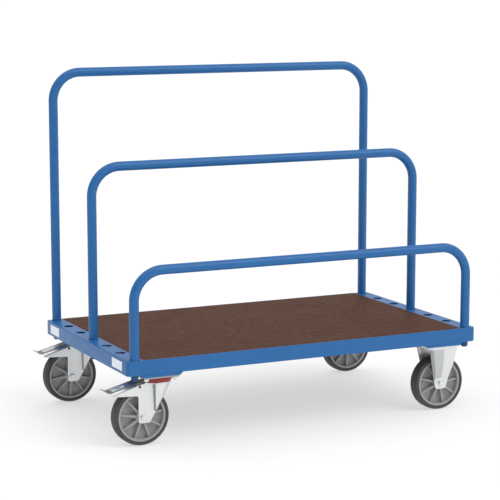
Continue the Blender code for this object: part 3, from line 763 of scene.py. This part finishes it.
def build_hoops(paint, spigot_paint_in_painted_shade):
    for name in ("rear", "middle", "front"):
        node = f"hoop_{name}"
        low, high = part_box(node)
        at = on_floor(middle(node))
        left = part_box(f"{node}_spigot_left")
        leg_x = (middle(f"{node}_spigot_right").x - at.x) / MM
        tube = hoop_tube(leg_x, low.z / MM, high.z / MM)
        cover(node, "tube", tube, [paint], node, at, "blue_paint")
        pin = spigot(low.z / MM, left[0].z / MM, left[1].z / MM)
        for side in ("left", "right"):
            cad = f"{node}_spigot_{side}"
            place = on_floor(middle(cad))
            # The spigots wear the darker coat: painted shade under the hole strips.
            cover(cad, "turned", pin, [spigot_paint_in_painted_shade], node, place, "blue_paint")


# ------------------------------------------------------------------ castors


def four_spots(bolts):
    return [(x, y, 0) for x in (-bolts[0], bolts[0]) for y in (-bolts[1], bolts[1])]


def hex_nut(across, low, high, bore=0.0):
    """A hexagon nut with its corners turned off at both faces."""
    body = lathe(
        [(0, low), (across / math.sqrt(3), low), (across / math.sqrt(3), high), (0, high)],
        "Z",
        6,
    )
    reach = across / math.sqrt(3)
    turned = lathe(
        [
            (0, low - 0.01), (across / 2 * 0.97, low - 0.01),
            (reach + 0.05, low + reach * 0.10), (reach + 0.05, high - reach * 0.10),
            (across / 2 * 0.97, high + 0.01), (0, high + 0.01),
        ],
        "Z",
        48,
    )
    nut = boolean(body, turned, "INTERSECT")
    return cut(nut, disc(bore, low - 1, high + 1, steps=24)) if bore else nut


def threaded(radius, low, high, pitch=1.5):
    """A threaded stud with a chamfered end, its thread drawn as close rings."""
    profile = [(0, low), (radius - 1.2, low), (radius - 0.2, low + 1.0)]
    count = int((high - low - 1.5) / pitch)
    for index in range(count):
        z = low + 1.2 + index * pitch
        profile += [(radius - 0.75, z + pitch * 0.1), (radius, z + pitch * 0.55)]
    profile += [(radius - 0.75, low + 1.2 + count * pitch), (radius, high), (0, high)]
    return lathe(profile, "Z", 24)


def castor_plate(bolts):
    """The flat part of a castor's top plate, with round corners and slotted holes."""
    plate = prism(
        fillet(rectangle(-67.5, -55, 67.5, 55, 12.0), 8),
        "Z",
        PLATE_TOP - PLATE_SHEET,
        PLATE_TOP,
    )
    slots = []
    for x, y, _ in four_spots(bolts):
        slot = fillet(rectangle(x - 8, y - 5.6, x + 8, y + 5.6, 5.55), 8)
        slots.append(prism(slot, "Z", PLATE_TOP - 9, PLATE_TOP + 3))
    return cut(plate, merged(*slots))


def swivel_plate():
    """A swivel castor's plate with the upper ball race pressed out below it."""
    race = lathe(
        [(0, 238), (44, 238), (42, 234.6), (40.3, 231), (39.6, 227.6), (38, 226), (0, 226)],
        "Z",
        72,
    )
    hole = disc(8.3, 200, 260, steps=32)
    return cut(union(castor_plate(SWIVEL_BOLTS), race), hole)


def mounting_pad():
    """The pad that is welded under the frame, seen as a dark step above the castor."""
    top, bottom = 250.7, 241.3
    outline = [(-76, top), (76, top), (67, bottom), (-67, bottom)]
    return prism(outline, "Y", -57, 57)


def build_pads(paint, zinc_plain):
    nut = moved(hex_nut(16.0, 226.7, 234.7), turn=Matrix.Rotation(0.4, 4, "Z"))
    washer = lathe([(5.4, 233.5), (9.6, 233.5), (9.6, 234.7), (5.4, 234.7)], "Z", 36, True)
    stud = threaded(5.0, 222.5, 249.0)
    for row in ("front", "rear"):
        for end, bolts in (("left", SWIVEL_BOLTS), ("right", FIXED_BOLTS)):
            node = f"mounting_plate_{row}_{end}"
            at = on_floor(middle(node))
            cover(node, "pad", mounting_pad(), [paint], "frame", at, "blue_paint", bevel=0.8)
            fixings = merged(
                *[moved(mesh, place) for mesh in (nut, washer) for place in four_spots(bolts)]
            )
            name = f"castor_nuts_{row}_{end}"
            add(name, fixings, [zinc_plain], "frame", at, slot="zinc", bevel=0.25)
            studs = merged(*[moved(stud, place) for place in four_spots(bolts)])
            name = f"castor_studs_{row}_{end}"
            add(name, studs, [zinc_plain], "frame", at, slot="zinc", angle=50)


def fork_leg():
    """The near leg of a swivel fork with its wing beside the pedal."""
    corners = [
        (44, CROWN_TOP, 0), (-36, 80, 9), (-78, 80, 9), (-78, 175, 7), (-171, 180, 2.5),
        (-169, 186.5, 2.5), (-70, 214, 12), (-52, CROWN_TOP, 0),
    ]
    return prism(fillet(corners, 8), "Y", -LEG_OUTER, -LEG_INNER)


def fork_bulge(skin):
    """The pressed bulge that carries the crown into the near leg, shrunk by a skin."""
    outer = -48 + skin
    foot = -LEG_INNER - 1 + 8 * (skin > 0)
    top = 216 if not skin else CROWN_BOTTOM
    point = 117 + 4 * skin
    step = point + 7
    return hull(
        [
            (-26 + skin, foot, top), (-22 + skin, outer, top), (20 - skin, outer, top),
            (42 - 1.5 * skin, foot, top), (-19 + skin, -41 + skin, step),
            (-14, -38 + skin, step), (-22 + skin, foot, point), (-15, foot, point),
        ]
    )


def paint_light_on_faces(mesh, index, chosen):
    """Gives the faces that a test picks by their middle and normal another material, which paints
    shade on them, and on the pedal paints highlight.
    """
    for face in mesh.polygons:
        if chosen(face.center, face.normal):
            face.material_index = index
    return mesh


def on_leg(at, across, high):
    """Whether a point is on a leg's outer side, within a reach in X and in height."""
    inside = across[0] < at.x < across[1] and high[0] < at.z < high[1]
    return inside and abs(at.y) > LEG_OUTER - 1


def fork_crease_painted_shade(at, normal):
    """The steep side of the fork's bulge, on both legs, given darker zinc as painted shade."""
    return on_leg(at, (-30, -10), (114, 215)) and normal.x < -0.45


def bracket_flank_painted_shade(at, normal):
    """The flank of a bracket's leg towards -X, and the underside of its plate, given darker zinc as
    painted shade.
    """
    below = at.z > 233 and normal.z < -0.7 and abs(at.y) < 44
    return below or (on_leg(at, (-60, -10), (105, 234)) and normal.x < FLANK_LEAN)


def bracket_half_painted_shade(at, normal):
    """The half of a bracket's outer face on the -X side of its ridge, given a lighter painted shade
    in zinc.
    """
    return on_leg(at, (-60, 0), (112, 230)) and FLANK_LEAN <= normal.x < -0.02


def pedal_painted_highlight(at, normal):
    """The pedal's skirts, and the tops of the bosses on its tread: upward faces in plain zinc as
    painted highlight.
    """
    tread_level = 0.8 < at.z - tread_top(at.x) and -170 < at.x < -100
    return normal.z > 0 and (abs(at.y) > TREAD_HALF + 0.5 or tread_level)


def axle_hole(x):
    """The hole for the wheel's axle, through both legs."""
    return moved(disc(AXLE_HOLE, -60, 60, "Y", 32), (x, 0, WHEEL_RADIUS))


def pin_hole():
    """The hole for the pin that the pedal turns on."""
    return moved(disc(PIN_HOLE, -60, 60, "Y", 24), (PEDAL_PIVOT[0], 0, PEDAL_PIVOT[1]))


def fork():
    """A swivel fork pressed out of one sheet: crown, two legs, bulges and wings."""
    crown = lathe([(0, 213), (48.5, 213), (50, 214.5), (50, 217.5), (48.5, 219), (0, 219)], "Z", 72)
    legs = [fork_leg(), fork_bulge(0)]
    legs += [mirrored(mesh, "Y") for mesh in legs]
    hollow = fork_bulge(4)
    body = cut(union(crown, *legs), hollow, mirrored(hollow, "Y"))
    body = cut(body, disc(8.3, 200, 230, steps=32), axle_hole(-TRAIL), pin_hole())
    # The steep side of each bulge gets the darker zinc: painted shade in the crease.
    return paint_light_on_faces(pressed(body), PAINTED_LIGHT_PLACE, fork_crease_painted_shade)


def tread_top(u):
    """The height of the tread's top, between the pedal's bend and its heel."""
    (low_u, low), (high_u, high) = PEDAL_LINE[1:3]
    return low + (high - low) * (u - low_u) / (high_u - low_u)


def on_tread(outline, u, y, rise):
    """A flat boss standing on the tread, from an outline about its own middle."""
    (low_u, low), (high_u, high) = PEDAL_LINE[1:3]
    slope = Matrix.Rotation(-math.atan2(high - low, high_u - low_u), 4, "Y")
    return moved(prism(outline, "Z", -1.5, rise), (u, y, tread_top(u)), slope)


def pedal():
    """A total-lock pedal: tread with a raised tip, a plateau for the foot, side skirts."""
    reach = TREAD_HALF
    tip, heel = -197, PEDAL_LINE[3][0]
    plan = [
        (tip, -reach, 5.0), (heel, -reach, 2.0), (heel, reach, 2.0), (tip, reach, 5.0),
    ]
    top_side = [(u, v, radius) for (u, v), radius in zip(PEDAL_LINE, (0, 5.0, 30.0, 0))]
    under_side = [(u + 0.6, v - PEDAL_SHEET, 0) for u, v in reversed(PEDAL_LINE)]
    side_view = prism(fillet(top_side + under_side, 6), "Y", -reach, reach)
    tread = boolean(side_view, prism(fillet(plan, 6), "Z", 185, 230), "INTERSECT")
    skirt_points = []
    for u, top in PEDAL_LINE[1:3]:
        for y, drop in ((-reach + 2, 0.4), (-SKIRT_HALF, SKIRT_DROP)):
            skirt_points.append((u, y, top - drop))
            skirt_points.append((u, y + 1, top - drop - PEDAL_SHEET + 0.8))
    skirt = hull(skirt_points)
    middle_line = PEDAL_SHEET / 2
    ear_corners = [
        (heel, PEDAL_LINE[3][1] - middle_line, 0.5),
        (-64, 198, 6), (-84, 198, 6),
        (-140, tread_top(-140) - middle_line, 0.5),
        (-84, tread_top(-84) - middle_line, 1),
    ]
    ear = prism(fillet(ear_corners), "Y", -EAR_HALF, -EAR_HALF + PEDAL_SHEET)
    plateau = on_tread(fillet(rectangle(-34, -17, 34, 17, 9.0), 8), -134, 0, 1.6)
    disc_edge = [10.5 * Vector((math.cos(a), math.sin(a))) for a in turns(32)]
    bosses = [plateau, on_tread(disc_edge, -120, 0, 3.2)]
    for u in (-160, -151):
        bosses.append(on_tread(fillet(rectangle(-2, -12, 2, 12, 1.9), 5), u, 0, 2.9))
    body = union(tread, skirt, ear, mirrored(skirt, "Y"), mirrored(ear, "Y"), *bosses)
    # The tread keeps a darker zinc as painted shade; its skirts and boss tops get plain zinc as
    # painted highlight.
    return paint_light_on_faces(cut(pressed(body, 0.8, 4), pin_hole()), PAINTED_LIGHT_PLACE, pedal_painted_highlight)


def brake_shoe():
    """The hard rubber block between the tread and the tyre, hollowed to the tyre."""
    reach = WHEEL_RADIUS + 1.2
    angles = [math.radians(112 + 2 * step) for step in range(9)]
    below = [
        (-TRAIL + reach * math.cos(a), WHEEL_RADIUS + reach * math.sin(a)) for a in angles
    ]
    above = [(u, tread_top(u) - PEDAL_SHEET - 0.3) for u in (below[-1][0], below[0][0])]
    return prism([Vector(p) for p in below + above], "Y", -17, 17)


def axle_bolt():
    """A wheel axle: hexagon bolt head at -Y, washers, and a lock nut at +Y."""
    grip = LEG_OUTER + 0.3
    across = Matrix.Rotation(math.radians(-90), 4, "X")
    head = moved(hex_nut(17.0, -grip - 7.3, -grip - 1.2), turn=across)
    nut = moved(hex_nut(17.0, grip + 1.2, grip + 6.2), turn=across)
    collar = lathe([(0, 37.5), (7.6, 37.5), (7.6, 38.9), (6.4, 39.7), (0, 39.7)], "Y", 40)
    shank = lathe([(0, -34), (6, -34), (6, 38.6), (5.2, 39.4), (0, 39.4)], "Y", 40)
    rings = []
    for side in (-1, 1):
        low, high = sorted((side * grip, side * (grip + 1.3)))
        rings.append(lathe([(0, low), (9.9, low), (9.9, high), (0, high)], "Y", 48))
    return [head, nut, collar, shank, *rings]


def along_rows(rows, height):
    """Values at a height, in a straight line between rows of (height, value, ...)."""
    for lower, upper in zip(rows, rows[1:]):
        if height <= upper[0]:
            share = (height - lower[0]) / (upper[0] - lower[0])
            return [a + (b - a) * share for a, b in zip(lower[1:], upper[1:])]
    return list(rows[-1][1:])


def bracket_leg():
    """The near leg of a fixed castor's bracket: a pressed trough with a soft ridge.

    Each row gives a height, half the leg's width, how far out the trough's face stands,
    how far out its edges stand, and how far the ridge stands proud of the face.
    """
    rows = [
        (79, 14, 31.5, 31.5, 0), (80.5, 18.5, 31.5, 31.5, 0), (84, 22, 31.5, 31.5, 0),
        (92, 24.5, 31.5, 31.5, 0), (112, 29.5, 31.5, 31.5, 0), (124, 32.6, 34.5, 32.8, 0.6),
        (150, 39.8, 42.2, 38.2, 1.6), (165, 44.3, 45.6, 41.6, 2.0),
        (180, 47.6, 47.4, 44.0, 2.0), (205, 52.6, 49.6, 46.5, 2.0),
        (222, 56, 51.2, 48.5, 1.6), (231, 57, 52.2, 50.0, 1.0),
        (238, 57.5, 54.0, 53.2, 0.2),
    ]
    bottom, top, count = rows[0][0], rows[-1][0], 64
    flat_share = 0.75
    shape = bmesh.new()
    loops = []
    for index in range(count + 1):
        z = bottom + (top - bottom) * index / count
        near = [along_rows(rows, z + shift) for shift in (-4, -2, 0, 2, 4) if z + shift > bottom]
        face, edge, ridge = [sum(column) / len(near) for column in list(zip(*near))[1:]]
        half = along_rows(rows, z)[0]
        flat = flat_share * half
        section = [(-half, edge), (-flat, face), (0, face + ridge), (flat, face), (half, edge)]
        loops.append([shape.verts.new((x, 1.8 - y, z)) for x, y in section])
    for low, high in zip(loops, loops[1:]):
        for side in range(len(low) - 1):
            shape.faces.new((low[side], low[side + 1], high[side + 1], high[side]))
    bmesh.ops.recalc_face_normals(shape, faces=shape.faces)
    mesh = bpy.data.meshes.new("leg")
    shape.to_mesh(mesh)
    shape.free()
    item = loose(mesh)
    solid = item.modifiers.new("solid", "SOLIDIFY")
    solid.thickness = 3.6
    solid.offset = 0.0
    solid.use_even_offset = False
    return evaluated(item)


def fixed_bracket():
    """A fixed castor's bracket: the plate and two cupped legs, as one pressing."""
    near = bracket_leg()
    slab = merged(castor_plate(FIXED_BOLTS), near, mirrored(near, "Y"))
    body = pressed(slab, 1.1, 6)
    body = cut(body, axle_hole(0))
    # Painted shade on the bracket: darker zinc on the flanks towards -X and under the plate, and
    # lighter painted shade on the -X half of each face.
    return paint_light_on_faces(paint_light_on_faces(body, PAINTED_HALF_SHADE_PLACE, bracket_half_painted_shade), PAINTED_LIGHT_PLACE, bracket_flank_painted_shade)


def wheel_centre(turn):
    """A moulded wheel centre: hub, dished web, rim with a lip, and nine ribs."""
    half = [
        (15.0, 26.5), (21.5, 26.5), (23.0, 25.2), (25.0, 4.5), (27.5, 2.6), (75.0, 2.6),
        (77.0, 4.2), (78.4, 19.8), (79.4, 21.0), (85.2, 21.0), (86.0, 20.2),
    ]
    profile = half + [(r, -y) for r, y in reversed(half)]
    body = lathe(profile, "Y", 108, closed=True)
    ribs = []
    for index in range(RIB_COUNT):
        angle = math.tau * index / RIB_COUNT + math.radians(turn)
        for side in (-1, 1):
            points = []
            for w in (-1, 1):
                points += [(20, side * 1.0, w * 5.8), (20, side * 23.5, w * 4.2)]
                points += [(80, side * 1.0, w * 4.0), (80, side * 15.5, w * 2.4)]
            ribs.append(moved(hull(points), turn=Matrix.Rotation(angle, 4, "Y")))
    return union(body, merged(*ribs))


def tyre():
    """A tyre with round shoulders, two fine grooves and a moulded line on each side."""
    half = [
        (86.3, 20.6), (87.2, 21.6), (89.6, 22.3), (90.0, 21.7), (90.9, 21.7), (91.3, 22.6),
        (93.8, 23.0), (96.3, 21.9), (98.2, 19.7), (99.2, 17.2), (99.5, 15.4), (98.7, 15.0),
        (98.7, 13.9), (99.75, 13.5), (99.95, 6.6), (99.2, 6.2), (99.2, 5.2), (100.0, 4.8),
    ]
    profile = half + [(r, -y) for r, y in reversed(half)]
    return lathe(profile, "Y", 144, closed=True)


def build_wheel(name, shapes, looks):
    """One wheel. Its body has the same name."""
    at = Vector((middle(f"{name}_bearing").x, middle(f"{name}_bearing").y, WHEEL_RADIUS * MM))
    centre = wheel_centre(RIB_TURNS[name])
    dark = [looks["dark"]]
    rubber = [looks["tyre"]]
    cover(f"{name}_tyre", "rubber", shapes["tyre"], rubber, name, at, "tyre_dark", angle=40)
    cover(f"{name}_centre", "moulded", centre, [looks["grey"]], name, at, "wheel_grey", bevel=0.6)
    cover(f"{name}_bearing", "cage", shapes["bearing"], dark, name, at, "dark_steel")


def build_castors(looks):
    """Both kinds of castor. Their shapes are built once and used for front and rear."""
    bearing = [(AXLE_HOLE, -26.0), (13.6, -26.0), (14.4, -25.2)]
    bearing += [(radius, -y) for radius, y in reversed(bearing)]
    shapes = {
        "tyre": tyre(),
        "bearing": lathe(bearing, "Y", 48, closed=True),
        "fork": fork(),
        "pedal": pedal(),
        "shoe": brake_shoe(),
        "axle": axle_bolt(),
        "bracket": fixed_bracket(),
        "plate": swivel_plate(),
        "seal": lathe(
            [
                (40.5, 219.5), (48.6, 219.5), (50.8, 220.6), (52.8, 222.8), (53.7, 226.0),
                (54.0, 229.6), (53.6, 231.8), (52.4, 233.1), (50.6, 233.5), (40.5, 233.5),
            ],
            "Z",
            72,
            closed=True,
        ),
        "race": lathe([(20, 219.4), (37.8, 219.4), (37.8, 225.6), (20, 225.6)], "Z", 60, True),
        "kingpin": lathe(
            [
                (0, 205), (5.5, 205), (6.5, 206), (12.0, 206), (13.7, 207.4), (14.0, 212.7),
                (8, 212.7), (8, 240.2), (7.2, 241), (0, 241),
            ],
            "Z",
            48,
        ),
        "pin": lathe(
            [(0, -33), (2.9, -33), (3.5, -32.2), (3.5, 32.2), (2.9, 33), (0, 33)], "Y", 32
        ),
    }
    steel = [looks["zinc"], looks["painted_shade_zinc"]]
    painted_shade_zinc, bright, dark = [looks["painted_shade_zinc"]], [looks["bright"]], [looks["dark"]]
    # The bracket's list: plain zinc, then the darker and the lighter zinc of painted shade.
    bracket_zinc_and_painted_shades = [*steel, looks["light_painted_shade_zinc"]]
    # The pedal: darker zinc on the tread as painted shade, plain zinc on its upward skirts and boss
    # tops as painted highlight.
    tread = [looks["pedal"], looks["zinc"]]
    axle = merged(*shapes["axle"])
    for row in ("front", "rear"):
        right = on_floor(middle(f"fixed_axle_{row}"))
        hub = right + Vector((0, 0, WHEEL_RADIUS * MM))
        cover(f"fixed_bracket_{row}", "pressing", shapes["bracket"], bracket_zinc_and_painted_shades, "frame", right)
        cover(f"fixed_axle_{row}", "bolt", axle, bright, "frame", hub, bevel=0.3)
        build_wheel(f"fixed_wheel_{row}", shapes, looks)

        fork_body = f"fork_{row}"
        left = on_floor(middle(f"kingpin_{row}"))
        hub = left + Vector((-TRAIL * MM, 0, WHEEL_RADIUS * MM))
        # The swivel plate is all in the darker zinc: painted shade under the frame.
        cover(f"swivel_plate_{row}", "pressing", shapes["plate"], painted_shade_zinc, "frame", left, bevel=0.5)
        cover(f"kingpin_{row}", "turned", shapes["kingpin"], bright, "frame", left)
        cover(fork_body, "pressing", shapes["fork"], steel, fork_body, left)
        cover(f"seal_{row}", "ring", shapes["seal"], [looks["red"]], fork_body, left, "red_seal")
        cover(f"swivel_bearing_{row}", "race", shapes["race"], dark, fork_body, left, "dark_steel")
        cover(f"swivel_axle_{row}", "bolt", axle, bright, fork_body, hub, bevel=0.3)
        build_wheel(f"swivel_wheel_{row}", shapes, looks)
        pin = f"pedal_pin_{row}"
        cover(pin, "rod", shapes["pin"], dark, fork_body, middle(pin), "dark_steel")
        body = f"pedal_{row}"
        cover(f"brake_pedal_{row}", "pressing", shapes["pedal"], tread, body, left, bevel=0.4)
        shoe = f"brake_shoe_{row}"
        cover(shoe, "block", shapes["shoe"], dark, body, left, "dark_steel", bevel=0.6)


# ------------------------------------------------------------ light and view


def build_floor():
    shape = bmesh.new()
    bmesh.ops.create_circle(shape, cap_ends=True, segments=96, radius=FLOOR_RADIUS)
    mesh = bpy.data.meshes.new("floor")
    shape.to_mesh(mesh)
    shape.free()
    floor = bpy.data.objects.new("floor", mesh)
    floor.data.materials.append(floor_paint())
    SCENE.collection.objects.link(floor)


def sun(name, towards, strength, spread):
    """A distant light, softened by its angular size in degrees."""
    light = bpy.data.lights.new(name, "SUN")
    light.energy = strength
    light.angle = math.radians(spread)
    item = bpy.data.objects.new(name, light)
    item.rotation_euler = Vector(towards).to_track_quat("Z", "Y").to_euler()
    SCENE.collection.objects.link(item)


def build_light():
    """A white surround, brightest along the horizon, with a soft key from the right.

    Above the horizon it is darker towards -X.
    """
    world = bpy.data.worlds.new("studio")
    world.use_nodes = True
    tree = world.node_tree
    background = tree.nodes["Background"]
    place = tree.nodes.new("ShaderNodeTexCoord")
    split = tree.nodes.new("ShaderNodeSeparateXYZ")
    shade = tree.nodes.new("ShaderNodeMapRange")
    shade.inputs["From Min"].default_value = -1.0
    shade.inputs["From Max"].default_value = 0.6
    shade.inputs["To Min"].default_value = SURROUND_LEFT
    shade.inputs["To Max"].default_value = SURROUND_RIGHT
    tree.links.new(place.outputs["Generated"], split.inputs[0])
    tree.links.new(split.outputs["X"], shade.inputs["Value"])
    band = tree.nodes.new("ShaderNodeMapRange")
    band.interpolation_type = "SMOOTHSTEP"
    band.inputs["From Max"].default_value = HORIZON_HEIGHT
    band.inputs["To Min"].default_value = HORIZON_LIGHT
    band.inputs["To Max"].default_value = 0.0
    brighter = tree.nodes.new("ShaderNodeMath")
    brighter.operation = "MAXIMUM"
    tree.links.new(split.outputs["Z"], band.inputs["Value"])
    tree.links.new(band.outputs["Result"], brighter.inputs[0])
    tree.links.new(shade.outputs["Result"], brighter.inputs[1])
    tree.links.new(brighter.outputs["Value"], background.inputs["Color"])
    background.inputs["Strength"].default_value = SURROUND_STRENGTH
    SCENE.world = world
    sun("key", (0.55, -0.75, 0.95), 1.0, 40)
    sun("top", (-0.35, 0.35, 1.0), 0.75, 70)


def build_camera(size):
    """The view of the trolley from its front left, slightly above, with a long lens."""
    data = bpy.data.cameras.new("camera")
    data.lens = CAMERA_LENS
    data.sensor_width = 36.0
    data.clip_end = 2000.0
    camera = bpy.data.objects.new("camera", data)
    camera.location = size["at"] + Vector(CAMERA_PLACE)
    camera.rotation_euler = Euler([math.radians(angle) for angle in CAMERA_TURN])
    SCENE.collection.objects.link(camera)
    SCENE.camera = camera


def main():
    size = frame_sizes()
    paint = powder_coat("powder_coat_blue")
    looks = {
        "zinc": zinc("zinc_plated_steel", 0.76, 0.36),
        # Painted shade: the same zinc, darker, for the fork's creases, the swivel plates, and the
        # brackets' flanks and plate undersides.
        "painted_shade_zinc": zinc("zinc_in_painted_shade", 0.36, 0.42),
        # Painted shade, lighter: the same zinc for the -X half of each bracket's face.
        "light_painted_shade_zinc": zinc("zinc_in_light_painted_shade", 0.55, 0.38),
        # Painted shade: the darker zinc of the pedal's tread.
        "pedal": zinc("zinc_pedal_in_painted_shade", 0.26, 0.38, 0.3, 0.55),
        "bright": zinc("zinc_plated_bright", 0.78, 0.27),
        "dark": dark_steel(),
        "red": red_plastic(),
        "grey": moulded_grey("wheel_moulding", 0.33),
        "tyre": tyre_rubber(),
    }
    deck = [deck_mesh_film(), deck_plain_film(), plywood_edge()]
    build_frame(size, paint, deck, label_film())
    build_cross_members(size, paint)
    # The spigots get the blue coat at half tone: painted shade under the hole strips.
    build_hoops(paint, powder_coat("powder_coat_spigot_in_painted_shade", 0.5))
    build_pads(paint, looks["bright"])
    build_castors(looks)
    build_floor()
    build_light()
    build_camera(size)
    SCENE.view_settings.view_transform = "Standard"


main()
